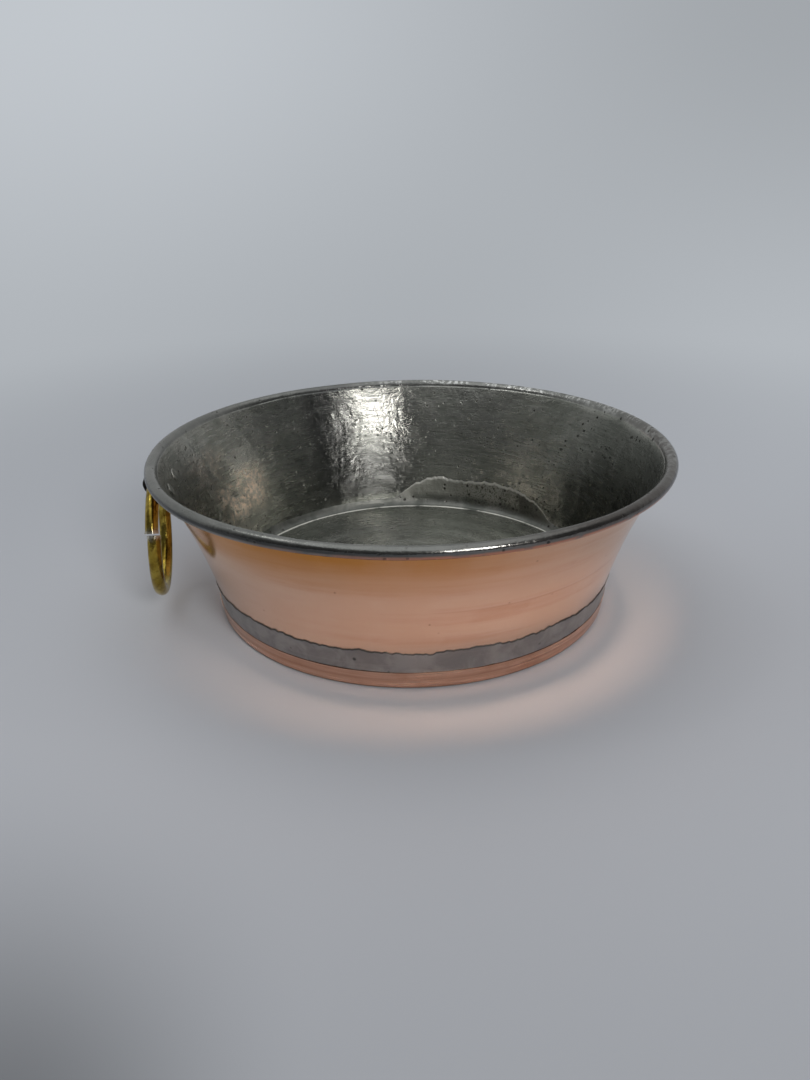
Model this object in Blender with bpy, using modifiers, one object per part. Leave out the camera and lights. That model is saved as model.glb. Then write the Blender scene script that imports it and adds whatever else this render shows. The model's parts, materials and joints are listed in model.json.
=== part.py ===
"""Tinned copper mixing bowl with one brass carrying ring.

A flared copper wall is wired at the rim and stands in the turned-up edge of a copper base pan. Solder fills
that seam inside and out. A riveted lug under the rim holds a split brass ring, which swings.
The bowl stands on the plane z = 0 with its axis on +Z, and the ring hangs on the -X side.
Lengths are in metres.
"""

import math

import bmesh
import bpy
from mathutils import Matrix, Vector

# Driving dimensions of the bowl
BOWL_HEIGHT = 0.0744
RIM_RADIUS = 0.1200  # outside of the wired rim
BEAD_RADIUS = 0.0026  # outside of the sheet that is rolled round the rim wire
SHEET = 0.0009  # copper sheet of the wall
WIRE_RADIUS = 0.0015
RIM_FLARE = math.radians(27.1)  # lean of the wall from upright where it meets the rim
CURL_END = math.radians(-145)  # where the rolled sheet stops, seen in the bead's section
FIT_GAP = 0.00025  # clearance between neighbouring pieces

# Base pan
PAN_SHEET = 0.0008
FLOOR_TOP = 0.00475  # height of the raised floor's upper face
FLOOR_EDGE_RADIUS = 0.0882  # where the flat floor starts to turn down
CHANNEL_INNER_RADIUS = 0.0901  # middle of the sheet, inner side of the channel
CHANNEL_OUTER_RADIUS = 0.0929  # middle of the sheet, outer side of the channel
CHANNEL_BEND = 0.0009
FLANGE_TOP = 0.0080

# Foot of the wall, which stands in the pan's channel
WALL_FOOT_Z = 0.0013
WALL_FOOT_RADIUS = 0.09175  # middle of the sheet

# Solder
OUTER_SOLDER_TOP = 0.0190
OUTER_SOLDER_THICK = 0.0006
INNER_SOLDER_TOP = 0.0220
SOLDER_FEATHER = 0.0003  # thickness at a feathered edge
SOLDER_GAP = 0.0001

# Lug, rivets and ring on the -X side
EYE_RADIAL = 0.1170  # distance of the ring's pivot from the bowl's axis
EYE_HEIGHT = 0.0630
EYE_RADIUS = 0.0050
EYE_WIDTH = 0.0070
EYE_BORE = 0.0035
FLANGE_HALF_LENGTH = 0.0150
FLANGE_HALF_HEIGHT = 0.0065
FLANGE_THICK = 0.0014
FLANGE_HEIGHT_ON_WALL = 0.0620
RIVET_SPACING = 0.0100  # each side of the eye
RIVET_SHANK = 0.0015
RIVET_HEAD = 0.0030
RIVET_DOME = 0.0010
RIVET_INNER_HEAD = 0.0032
RIVET_INNER_THICK = 0.0006
RING_RADIUS = 0.0255  # centre line of the wire
RING_WIRE = 0.0029
RING_GAP = 0.0006
RING_GAP_ANGLE = math.radians(157)  # from the +Y side, over the top
RING_END_STEP = 0.0008  # how far the two cut ends stand out of line
RING_LEAN = math.radians(3)  # the ring is stiff in its eye and rests leaning this far outwards

# Facets
TURN_STEPS = 64
WALL_STEPS = 7
CURL_STEPS = 12
RING_STEPS = 56

BEAD_CENTRE = Vector((RIM_RADIUS - BEAD_RADIUS, BOWL_HEIGHT - BEAD_RADIUS))
CURL_RADIUS = BEAD_RADIUS - SHEET / 2
CURL_START = math.pi - RIM_FLARE
WALL_TOP_RADIUS = BEAD_CENTRE.x + CURL_RADIUS * math.cos(CURL_START)
WALL_TOP_Z = BEAD_CENTRE.y + CURL_RADIUS * math.sin(CURL_START)
WALL_RISE = WALL_TOP_Z - WALL_FOOT_Z
WALL_CURVE = (WALL_FOOT_RADIUS - WALL_TOP_RADIUS + math.tan(RIM_FLARE) * WALL_RISE) / WALL_RISE**2


def clear_scene():
    for obj in list(bpy.data.objects):
        bpy.data.objects.remove(obj, do_unlink=True)


def new_collection(name):
    collection = bpy.data.collections.new(name)
    bpy.context.scene.collection.children.link(collection)
    return collection


def new_material(name, colour, roughness, metallic):
    material = bpy.data.materials.new(name)
    material.use_nodes = True
    shader = material.node_tree.nodes["Principled BSDF"]
    shader.inputs["Base Color"].default_value = (*colour, 1.0)
    shader.inputs["Roughness"].default_value = roughness
    shader.inputs["Metallic"].default_value = metallic
    material.diffuse_color = (*colour, 1.0)
    return material


def wall_radius(z, offset=0.0):
    """Radius of the wall at height z, measured offset outside the middle of its sheet."""
    below = WALL_TOP_Z - z
    middle = WALL_TOP_RADIUS - math.tan(RIM_FLARE) * below + WALL_CURVE * below**2
    return middle + offset / math.cos(wall_lean(z))


def wall_lean(z):
    """Angle of the wall from upright at height z."""
    return math.atan(math.tan(RIM_FLARE) - 2 * WALL_CURVE * (WALL_TOP_Z - z))


def wall_line(low, high, offset, steps):
    """Points up the wall from low to high, offset outside the middle of its sheet."""
    heights = [low + (high - low) * i / steps for i in range(steps + 1)]
    return [(wall_radius(z, offset), z) for z in heights]


def arc(centre, radius, start, end, steps):
    angles = [start + (end - start) * i / steps for i in range(steps + 1)]
    return [(centre[0] + radius * math.cos(a), centre[1] + radius * math.sin(a)) for a in angles]


def wall_frame(offset_y, z):
    """Frame on the wall's outer face on the -X side: X along the rim, Y up the slope, Z outwards."""
    radius = wall_radius(z, SHEET / 2)
    turn = math.asin(offset_y / radius)
    lean = wall_lean(z)
    out = Vector((-math.cos(turn) * math.cos(lean), math.sin(turn) * math.cos(lean), -math.sin(lean)))
    along = Vector((math.sin(turn), math.cos(turn), 0.0))
    up = out.cross(along)
    axes = Matrix((along, up, out)).transposed().to_4x4()
    return Matrix.Translation((-radius * math.cos(turn), offset_y, z)) @ axes


def place(obj, collection, material, location=(0.0, 0.0, 0.0)):
    collection.objects.link(obj)
    obj.location = location
    if material:
        obj.data.materials.append(material)
    return obj


def turned(name, outline, collection, material, closed=False, sheet=None, steps=TURN_STEPS):
    """An outline of (radius, height) points turned round Z, as a solid or as sheet of a given thickness."""
    edges = [(i, i + 1) for i in range(len(outline) - 1)]
    if closed:
        edges.append((len(outline) - 1, 0))
    mesh = bpy.data.meshes.new(name)
    mesh.from_pydata([(radius, 0.0, z) for radius, z in outline], edges, [])
    obj = place(bpy.data.objects.new(name, mesh), collection, material)
    screw = obj.modifiers.new("turn", "SCREW")
    screw.steps = steps
    screw.render_steps = steps
    screw.use_merge_vertices = True
    screw.merge_threshold = 0.00001
    screw.use_smooth_shade = True
    if sheet:
        solidify = obj.modifiers.new("sheet", "SOLIDIFY")
        solidify.thickness = sheet
        solidify.offset = 0.0
        solidify.use_even_offset = True
    return obj


def rod_mesh(name, radius, length, frame, segments, stretch=(1.0, 1.0)):
    """A closed rod centred on a frame's origin, along its Z, stretched in X and Y for an oval section."""
    cage = bmesh.new()
    bmesh.ops.create_cone(
        cage,
        cap_ends=True,
        segments=segments,
        radius1=radius,
        radius2=radius,
        depth=length,
        matrix=frame @ Matrix.Diagonal((*stretch, 1.0, 1.0)),
    )
    mesh = bpy.data.meshes.new(name)
    cage.to_mesh(mesh)
    cage.free()
    return mesh


def new_cutter(name, mesh, collection):
    cutter = place(bpy.data.objects.new(name, mesh), collection, None)
    cutter.hide_render = True
    cutter.display_type = "WIRE"
    return cutter


def combine(obj, other, operation):
    boolean = obj.modifiers.new(other.name, "BOOLEAN")
    boolean.operation = operation
    boolean.solver = "EXACT"
    boolean.object = other


def make_wall(parts, material, rivet_holes):
    """The flared sheet, its top edge rolled outwards over the rim wire."""
    outline = wall_line(WALL_FOOT_Z, WALL_TOP_Z, 0.0, WALL_STEPS)
    outline += arc(BEAD_CENTRE, CURL_RADIUS, CURL_START, CURL_END, CURL_STEPS)[1:]
    wall = turned("bowl_wall", outline, parts, material, sheet=SHEET)
    for hole in rivet_holes:
        combine(wall, hole, "DIFFERENCE")


def make_rim_wire(parts, material):
    bpy.ops.mesh.primitive_torus_add(
        major_radius=BEAD_CENTRE.x,
        minor_radius=WIRE_RADIUS,
        major_segments=TURN_STEPS,
        minor_segments=8,
        location=(0.0, 0.0, BEAD_CENTRE.y),
    )
    wire = bpy.context.object
    wire.name = "rim_wire"
    for collection in list(wire.users_collection):
        collection.objects.unlink(wire)
    parts.objects.link(wire)
    wire.data.materials.append(material)
    wire.data.shade_smooth()


def make_base_pan(parts, material):
    """The raised floor, bent down into a channel foot whose outer side hugs the wall."""
    half = PAN_SHEET / 2
    floor = FLOOR_TOP - half
    shoulder = CHANNEL_INNER_RADIUS - FLOOR_EDGE_RADIUS
    hug = SHEET / 2 + FIT_GAP + half
    outline = [(0.0, floor)]
    outline += arc((FLOOR_EDGE_RADIUS, floor - shoulder), shoulder, math.pi / 2, 0.0, 3)
    inner_corner = (CHANNEL_INNER_RADIUS + CHANNEL_BEND, half + CHANNEL_BEND)
    outer_corner = (CHANNEL_OUTER_RADIUS - CHANNEL_BEND, half + CHANNEL_BEND)
    outline += arc(inner_corner, CHANNEL_BEND, math.pi, 1.5 * math.pi, 2)
    outline += arc(outer_corner, CHANNEL_BEND, 1.5 * math.pi, 2 * math.pi, 2)
    outline.append((wall_radius(FLANGE_TOP, hug), FLANGE_TOP))
    turned("base_pan", outline, parts, material, sheet=PAN_SHEET)


def make_outer_solder(parts, material):
    """The wiped band that covers the joint above the pan's flange."""
    low = FLANGE_TOP + FIT_GAP
    back = SHEET / 2 + SOLDER_GAP
    middle = (low + OUTER_SOLDER_TOP) / 2
    outline = [
        (wall_radius(OUTER_SOLDER_TOP, back + SOLDER_FEATHER), OUTER_SOLDER_TOP),
        (wall_radius(middle, back + OUTER_SOLDER_THICK), middle),
        (wall_radius(low, back + OUTER_SOLDER_THICK), low),
    ]
    outline += wall_line(low, OUTER_SOLDER_TOP, back, 2)
    turned("outer_seam_solder", outline, parts, material, closed=True)


def make_inner_solder(parts, material):
    """The fillet that seals the corner inside, with a raised edge round the floor."""
    low = FLOOR_TOP + SOLDER_GAP
    back = -SHEET / 2 - SOLDER_GAP
    edge_height = 0.0007
    fillet_height = 0.0050
    outline = wall_line(low, INNER_SOLDER_TOP, back, 3)[::-1]
    outline += [
        (FLOOR_EDGE_RADIUS, low),
        (FLOOR_EDGE_RADIUS, low + edge_height),
        (FLOOR_EDGE_RADIUS + 2 * edge_height, low + edge_height),
        (wall_radius(low + fillet_height, back - 2 * SOLDER_FEATHER), low + fillet_height),
        (wall_radius(INNER_SOLDER_TOP, back - SOLDER_FEATHER), INNER_SOLDER_TOP),
    ]
    turned("inner_seam_solder", outline, parts, material, closed=True)


def make_lug(parts, cutters, material, rivet_holes):
    """An oval flange that follows the wall, with a barrel eye standing on it for the ring."""
    near = SHEET / 2 + FIT_GAP
    low = FLANGE_HEIGHT_ON_WALL - 1.2 * FLANGE_HALF_HEIGHT
    high = FLANGE_HEIGHT_ON_WALL + FLANGE_HALF_HEIGHT
    collar = wall_line(low, high, near + FLANGE_THICK, 3)[::-1] + wall_line(low, high, near, 3)
    lug = turned("ring_lug", collar, parts, material, closed=True)

    on_wall = wall_frame(0.0, FLANGE_HEIGHT_ON_WALL)
    oval = rod_mesh(
        "flange_outline", FLANGE_HALF_HEIGHT, 0.02, on_wall, 32,
        stretch=(FLANGE_HALF_LENGTH / FLANGE_HALF_HEIGHT, 1.0),
    )
    combine(lug, new_cutter("flange_outline", oval, cutters), "INTERSECT")

    across = Matrix.Translation(eye_centre()) @ Matrix.Rotation(math.pi / 2, 4, "X")
    barrel = rod_mesh("eye_barrel", EYE_RADIUS, EYE_WIDTH, across, 28)
    bore = rod_mesh("eye_bore", EYE_BORE, 2 * EYE_WIDTH, across, 28)
    combine(lug, new_cutter("eye_barrel", barrel, cutters), "UNION")
    combine(lug, new_cutter("eye_bore", bore, cutters), "DIFFERENCE")
    for hole in rivet_holes:
        combine(lug, hole, "DIFFERENCE")


def eye_centre():
    return Vector((-EYE_RADIAL, 0.0, EYE_HEIGHT))


def rivet_frame(side):
    return wall_frame(side * RIVET_SPACING, FLANGE_HEIGHT_ON_WALL)


def make_rivet_hole(name, side, cutters):
    mesh = rod_mesh(name, RIVET_SHANK + FIT_GAP, 0.012, rivet_frame(side), 16)
    return new_cutter(name, mesh, cutters)


def make_rivet(name, side, parts, material):
    """A low domed head outside, a shank through flange and wall, and a hammered flat head inside."""
    seat = 2 * FIT_GAP + FLANGE_THICK
    inside = -SHEET - FIT_GAP
    outline = [
        (0.0, seat + RIVET_DOME),
        (0.55 * RIVET_HEAD, seat + 0.85 * RIVET_DOME),
        (0.9 * RIVET_HEAD, seat + 0.45 * RIVET_DOME),
        (RIVET_HEAD, seat),
        (RIVET_SHANK, seat),
        (RIVET_SHANK, inside),
        (RIVET_INNER_HEAD, inside),
        (0.85 * RIVET_INNER_HEAD, inside - RIVET_INNER_THICK),
        (0.0, inside - RIVET_INNER_THICK),
    ]
    rivet = turned(name, outline, parts, material, steps=16)
    rivet.matrix_world = rivet_frame(side)


def make_ring(parts, material):
    """A wire bent to a ring, its two cut ends a little out of line. Its origin is the pivot in the eye."""
    half_gap = RING_GAP / 2 / RING_RADIUS
    start = RING_GAP_ANGLE + half_gap
    sweep = 2 * math.pi - 2 * half_gap
    curve = bpy.data.curves.new("ring_handle", "CURVE")
    curve.dimensions = "3D"
    curve.bevel_depth = RING_WIRE
    curve.bevel_resolution = 4
    curve.use_fill_caps = True
    spline = curve.splines.new("POLY")
    spline.points.add(RING_STEPS)
    for i, point in enumerate(spline.points):
        share = i / RING_STEPS
        angle = start + sweep * share
        out_of_line = RING_END_STEP / 2 * (2 * share - 1) ** 5
        height = RING_RADIUS * (math.sin(angle) - 1)
        point.co = (-out_of_line, RING_RADIUS * math.cos(angle), height, 1.0)
    ring = place(bpy.data.objects.new("ring_handle", curve), parts, material, eye_centre())
    ring.rotation_euler.y = RING_LEAN


def main():
    clear_scene()
    parts = new_collection("mixing_bowl")
    cutters = new_collection("cutters")

    copper = new_material("copper", (0.72, 0.36, 0.22), 0.28, 1.0)
    pan_copper = new_material("base_copper", (0.66, 0.32, 0.20), 0.35, 1.0)
    steel = new_material("rim_steel", (0.42, 0.42, 0.41), 0.4, 1.0)
    solder = new_material("outer_solder", (0.24, 0.23, 0.22), 0.5, 0.9)
    tin = new_material("inner_tin", (0.30, 0.30, 0.28), 0.38, 1.0)
    iron = new_material("dark_iron", (0.035, 0.033, 0.03), 0.5, 0.9)
    rivet_iron = new_material("rivet_iron", (0.12, 0.12, 0.11), 0.45, 1.0)
    brass = new_material("ring_brass", (0.50, 0.36, 0.10), 0.22, 1.0)

    sides = {"left": 1, "right": -1}  # seen from outside, facing the lug
    rivet_holes = [make_rivet_hole(f"rivet_hole_{name}", side, cutters) for name, side in sides.items()]
    make_wall(parts, copper, rivet_holes)
    make_rim_wire(parts, steel)
    make_base_pan(parts, pan_copper)
    make_outer_solder(parts, solder)
    make_inner_solder(parts, tin)
    make_lug(parts, cutters, iron, rivet_holes)
    for name, side in sides.items():
        make_rivet(f"lug_rivet_{name}", side, parts, rivet_iron)
    make_ring(parts, brass)


main()
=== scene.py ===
import json
import math
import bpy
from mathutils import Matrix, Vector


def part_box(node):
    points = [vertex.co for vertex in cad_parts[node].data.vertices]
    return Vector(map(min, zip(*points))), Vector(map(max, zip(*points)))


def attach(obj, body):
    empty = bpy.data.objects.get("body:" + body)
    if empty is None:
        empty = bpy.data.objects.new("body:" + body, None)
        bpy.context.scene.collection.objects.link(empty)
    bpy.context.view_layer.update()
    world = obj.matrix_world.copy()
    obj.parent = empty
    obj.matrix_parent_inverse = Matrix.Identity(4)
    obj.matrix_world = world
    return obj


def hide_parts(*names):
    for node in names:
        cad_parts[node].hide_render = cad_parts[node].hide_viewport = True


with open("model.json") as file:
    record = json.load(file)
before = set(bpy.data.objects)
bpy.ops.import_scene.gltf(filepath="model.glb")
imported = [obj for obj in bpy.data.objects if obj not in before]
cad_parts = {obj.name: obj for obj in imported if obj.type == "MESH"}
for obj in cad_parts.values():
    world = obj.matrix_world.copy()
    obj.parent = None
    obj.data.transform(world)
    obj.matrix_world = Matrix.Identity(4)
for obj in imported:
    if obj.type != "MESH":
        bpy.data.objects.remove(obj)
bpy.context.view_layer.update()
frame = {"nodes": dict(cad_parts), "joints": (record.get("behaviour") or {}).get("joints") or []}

from types import SimpleNamespace

import bmesh
import bpy
import numpy as np
from mathutils import Euler, Matrix, Vector, noise

# A tinned copper mixing bowl with a brass ring. Metres, +Z up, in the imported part's frame: the ring is at -X.
# The copper sheet is built as two skins, copper outside and tin inside, so that each has its own finish.

TURN = 2 * math.pi
FINE = 900       # steps round the bowl on the large sheets
SKIN_GAP = 0.00004                      # between the two skins of one sheet
SHARP = math.radians(50)                # edges sharper than this are drawn as edges

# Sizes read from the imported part
WIRE_LOW, WIRE_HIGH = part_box("rim_wire")
WALL_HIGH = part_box("bowl_wall")[1]
PAN_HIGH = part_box("base_pan")[1]
BAND_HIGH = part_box("outer_seam_solder")[1]
FILLET_LOW, FILLET_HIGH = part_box("inner_seam_solder")
PIVOT = Vector(frame["joints"][0]["pos_m"])


def cad_section(node):
    """(radius, z) of a turned node's vertices on the half plane at +X, each point once."""
    points = [vertex.co for vertex in frame["nodes"][node].data.vertices]
    return np.array(sorted({(round(p.x, 7), round(p.z, 7)) for p in points if p.x > 0 and abs(p.y) < 1e-5}))


BEAD_Z = (WIRE_LOW.z + WIRE_HIGH.z) / 2
BEAD_RADIUS = WALL_HIGH.z - BEAD_Z
BEAD_R = WALL_HIGH.x - BEAD_RADIUS

# The wall's curve is radius as a quadratic in z. Its two lowest points lie on either face of the sheet.
WALL_SECTION = cad_section("bowl_wall")
PLAIN_WALL = WALL_SECTION[WALL_SECTION[:, 1] < BEAD_Z - 2 * BEAD_RADIUS]
WALL_CURVE = np.polyfit(PLAIN_WALL[:, 1], PLAIN_WALL[:, 0], 2)
WALL_SLOPE = np.polyder(WALL_CURVE)
FOOT_PAIR = PLAIN_WALL[np.argsort(PLAIN_WALL[:, 1])][:2]
SHEET = float(np.linalg.norm(FOOT_PAIR[0] - FOOT_PAIR[1]))
FOOT_Z = float(FOOT_PAIR[:, 1].mean())
CURL_RADIUS = BEAD_RADIUS - SHEET / 2
TOP_TILT = math.atan(np.polyval(WALL_SLOPE, BEAD_Z + BEAD_RADIUS / 2))
TOP_Z = BEAD_Z + CURL_RADIUS * math.sin(TOP_TILT)
CURL_START = 180 - math.degrees(TOP_TILT)
CURL_END = -145                         # degrees; the curl stops where it would meet the wall again

# The floor's top is the pan's innermost point at about the height of the inner solder's underside.
PAN_SECTION = cad_section("base_pan")
FROM_FLOOR = PAN_SECTION[:, 0] + 100 * abs(PAN_SECTION[:, 1] - FILLET_LOW.z)
FLOOR_TOP = float(PAN_SECTION[np.argmin(FROM_FLOOR), 1])
FOOT_FLAT = PAN_SECTION[PAN_SECTION[:, 1] < 0.0002, 0]
FLOOR_EDGE = float(cad_section("inner_seam_solder")[:, 0].min())
PAN_SHEET = 0.0008
CHANNEL_BEND = 0.0009
THIN_EDGE = "thin_edge"                 # mesh attribute: 1 along the torn edge of a solder piece
LATHE_LINE_Z = 0.54 * BEAD_Z            # a scored line round the outside
LATHE_LINE_WIDTH = 0.0006


# ---------------------------------------------------------------- shape helpers

def smooth(value, low, high):
    """0 below low, 1 above high, and an S-curve between them."""
    share = np.clip((value - low) / (high - low), 0, 1)
    return share * share * (3 - 2 * share)


def waves(seed, count, around, along, size):
    """A smooth random field over (azimuth, height): a sum of waves, closed round the bowl."""
    draw = np.random.default_rng(seed)
    turns = draw.integers(-around, around + 1, count)
    pitch = draw.uniform(-along, along, count)
    phase = draw.uniform(0, TURN, count)

    def field(azimuth, height):
        total = sum(np.cos(k * azimuth + m * height + p) for k, m, p in zip(turns, pitch, phase))
        return size * total * math.sqrt(2 / count)

    return field


def torn_edge(seed, size):
    """An irregular line round the bowl: slow waves with small sharp steps, about -1 to 1 times size."""
    draw = np.random.default_rng(seed)

    def layers(counts):
        """(turns, phase, share) for each count; quicker layers have a smaller share."""
        return [(draw.integers(low, 2 * low), draw.uniform(0, TURN), 1 / low ** 0.45) for low in counts]

    swells = layers((3, 7, 13, 29, 61, 97))
    teeth = layers((23, 47, 111, 223, 389))

    def line(azimuth):
        slow = sum(part * np.cos(k * azimuth + p) for k, p, part in swells)
        torn = sum(part * (1 - 2 * abs(np.sin((k * azimuth + p) / 2))) for k, p, part in teeth)
        return size * (0.7 * slow + 0.8 * torn)

    return line


def pit_field(seed, count, azimuths, heights, widths, depth):
    """Small dents at random places, as a function of (azimuth, radius, height) that is below zero in them."""
    draw = np.random.default_rng(seed)
    spots = [(draw.uniform(*azimuths), draw.uniform(*heights), draw.uniform(*widths)) for _ in range(count)]

    def field(azimuth, radius, height):
        total = np.zeros(np.broadcast_shapes(azimuth.shape, height.shape))
        for around, up, width in spots:
            rows = np.nonzero(abs(height - up) < 3 * width)[0]
            if not len(rows):
                continue
            reach = (azimuth - around + math.pi) % TURN - math.pi
            near = np.exp(-((reach * radius[rows]) ** 2 + (height[rows] - up) ** 2) / width ** 2)
            total[:, rows] -= depth * near
        return total

    return field


def wall_path(offset, low, high, count):
    """(radius, z) up the wall's middle surface, moved outwards by offset square to it."""
    z = np.linspace(low, high, count)
    tilt = np.arctan(np.polyval(WALL_SLOPE, z))
    return np.stack([np.polyval(WALL_CURVE, z) + offset * np.cos(tilt), z - offset * np.sin(tilt)], 1)


def arc_path(centre, radius, start, end, count):
    """(radius, z) along an arc; angles in degrees from +radius towards +z."""
    angle = np.radians(np.linspace(start, end, count))
    return np.stack([centre[0] + radius * np.cos(angle), centre[1] + radius * np.sin(angle)], 1)


def square(path):
    """Unit vectors square to a path, to the left of its run."""
    run = np.gradient(path, axis=0)
    run /= np.linalg.norm(run, axis=1)[:, None]
    return np.stack([-run[:, 1], run[:, 0]], 1)


def strip_faces(rows, count, closed):
    """Quads between rows of count points. The last row joins the first; closed joins each row's ends."""
    row = np.arange(rows)[:, None]
    column = np.arange(count if closed else count - 1)[None, :]
    corners = [
        row * count + column,
        (row + 1) % rows * count + column,
        (row + 1) % rows * count + (column + 1) % count,
        row * count + (column + 1) % count,
    ]
    return np.stack(np.broadcast_arrays(*corners), -1).reshape(-1, 4).tolist()


def piece(name, points, faces, material, body, nodes):
    """A closed mesh with its faces turned outwards, riding on body and standing for nodes."""
    mesh = bpy.data.meshes.new(name)
    mesh.from_pydata(points, [], faces)
    shape = bmesh.new()
    shape.from_mesh(mesh)
    bmesh.ops.recalc_face_normals(shape, faces=shape.faces)
    shape.to_mesh(mesh)
    shape.free()
    return dress(name, mesh, material, body, nodes)


def dress(name, mesh, material, body, nodes):
    """Makes the mesh an object with its material, riding on body and standing for nodes."""
    mesh.shade_smooth()
    mesh.set_sharp_from_angle(angle=SHARP)
    mesh.materials.clear()
    mesh.materials.append(material)
    made = bpy.data.objects.new(name, mesh)
    bpy.context.scene.collection.objects.link(made)
    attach(made, body)
    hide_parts(*nodes)
    return made


def turned(name, radius, z, material, nodes, poles=False):
    """Joins sections, one row for each step round the axis, into a closed piece of the bowl.
    With poles, both ends of every section meet at the axis."""
    steps, count = radius.shape
    azimuth = np.linspace(0, TURN, steps, endpoint=False)[:, None]
    points = np.stack([radius * np.cos(azimuth), radius * np.sin(azimuth), z], -1).reshape(-1, 3).tolist()
    faces = strip_faces(steps, count, closed=not poles)
    if poles:
        for column in (0, count - 1):
            points.append((0, 0, float(z[:, column].mean())))
            for row in range(steps):
                faces.append((row * count + column, (row + 1) % steps * count + column, len(points) - 1))
    return piece(name, points, faces, material, "bowl", nodes)


def skin(name, seen, hidden, side, wobble, relief, material, node, poles=False):
    """One skin of a sheet. seen and hidden are its two faces as (radius, z) paths that run the same way,
    and side is 1 where the seen face looks to the left of its run, else -1. wobble moves both faces, and
    relief only the seen one."""
    azimuth = np.linspace(0, TURN, FINE, endpoint=False)[:, None]
    normal = side * square(seen)
    lift = relief(azimuth, seen[:, 0], seen[:, 1])
    back = hidden[::-1]
    seen_out, seen_up = wobble(azimuth, seen[:, 0], seen[:, 1])
    back_out, back_up = wobble(azimuth, back[:, 0], back[:, 1])
    radius = np.concatenate([seen[:, 0] + seen_out + lift * normal[:, 0], back[:, 0] + back_out], 1)
    z = np.concatenate([seen[:, 1] + seen_up + lift * normal[:, 1], back[:, 1] + back_up], 1)
    return turned(name, radius, z, material, [node], poles)


# ---------------------------------------------------------------- material helpers

class Nodes:
    """Fills an emptied tree with nodes. Most methods give back their node's output."""

    def __init__(self, tree):
        self.nodes = tree.nodes
        self.links = tree.links
        self.nodes.clear()

    def add(self, kind, inputs, **settings):
        """A new node with these settings, its inputs fed by name or number."""
        node = self.nodes.new(kind)
        for name, value in settings.items():
            setattr(node, name, value)
        for name, value in inputs.items():
            self.feed(node.inputs[name], value)
        return node

    def feed(self, socket, value):
        """Links value to the socket where it is a node's output, and else sets it there."""
        if isinstance(value, bpy.types.NodeSocket):
            self.links.new(value, socket)
        elif socket.type == "RGBA":
            socket.default_value = (*value, 1)
        else:
            socket.default_value = value

    def math(self, operation, a, b=0.0):
        return self.add("ShaderNodeMath", {0: a, 1: b}, operation=operation).outputs[0]

    def ease(self, value, low, high, first=0.0, last=1.0):
        """From first to last as value goes from low to high, in an S-curve."""
        inputs = {"Value": value, "From Min": low, "From Max": high, "To Min": first, "To Max": last}
        return self.add("ShaderNodeMapRange", inputs, interpolation_type="SMOOTHSTEP").outputs["Result"]

    def between(self, value, rise, fall):
        """0 below rise, 1 from rise to fall, and 0 above fall. Each is a pair of values."""
        return self.product(self.ease(value, rise[0], rise[1]), self.ease(value, fall[1], fall[0]))

    def coordinates(self, kind):
        return self.nodes.new("ShaderNodeTexCoord").outputs[kind]

    def axes(self, vector):
        return self.add("ShaderNodeSeparateXYZ", {0: vector}).outputs

    def vector_math(self, operation, a, b=(0, 0, 0)):
        """A number made from vectors."""
        return self.add("ShaderNodeVectorMath", {0: a, 1: b}, operation=operation).outputs["Value"]

    def tinted(self, colour, level):
        """colour times level."""
        return self.add("ShaderNodeVectorMath", {0: colour, "Scale": level}, operation="SCALE").outputs[0]

    def camera_ray(self):
        """1 for what the camera sees directly, 0 for reflections and light."""
        return self.nodes.new("ShaderNodeLightPath").outputs["Is Camera Ray"]

    def blend(self, share, first, second, output):
        """Ends the tree with a mix of two shaders."""
        mixed = self.add("ShaderNodeMixShader", {0: share, 1: first.outputs[0], 2: second.outputs[0]})
        self.add(output, {0: mixed.outputs[0]})

    def product(self, *values):
        total = values[0]
        for value in values[1:]:
            total = self.math("MULTIPLY", total, value)
        return total

    def total(self, *values):
        total = values[0]
        for value in values[1:]:
            total = self.math("ADD", total, value)
        return total

    def hypotenuse(self, a, b):
        return self.math("SQRT", self.total(self.math("POWER", a, 2), self.math("POWER", b, 2)))


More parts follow.
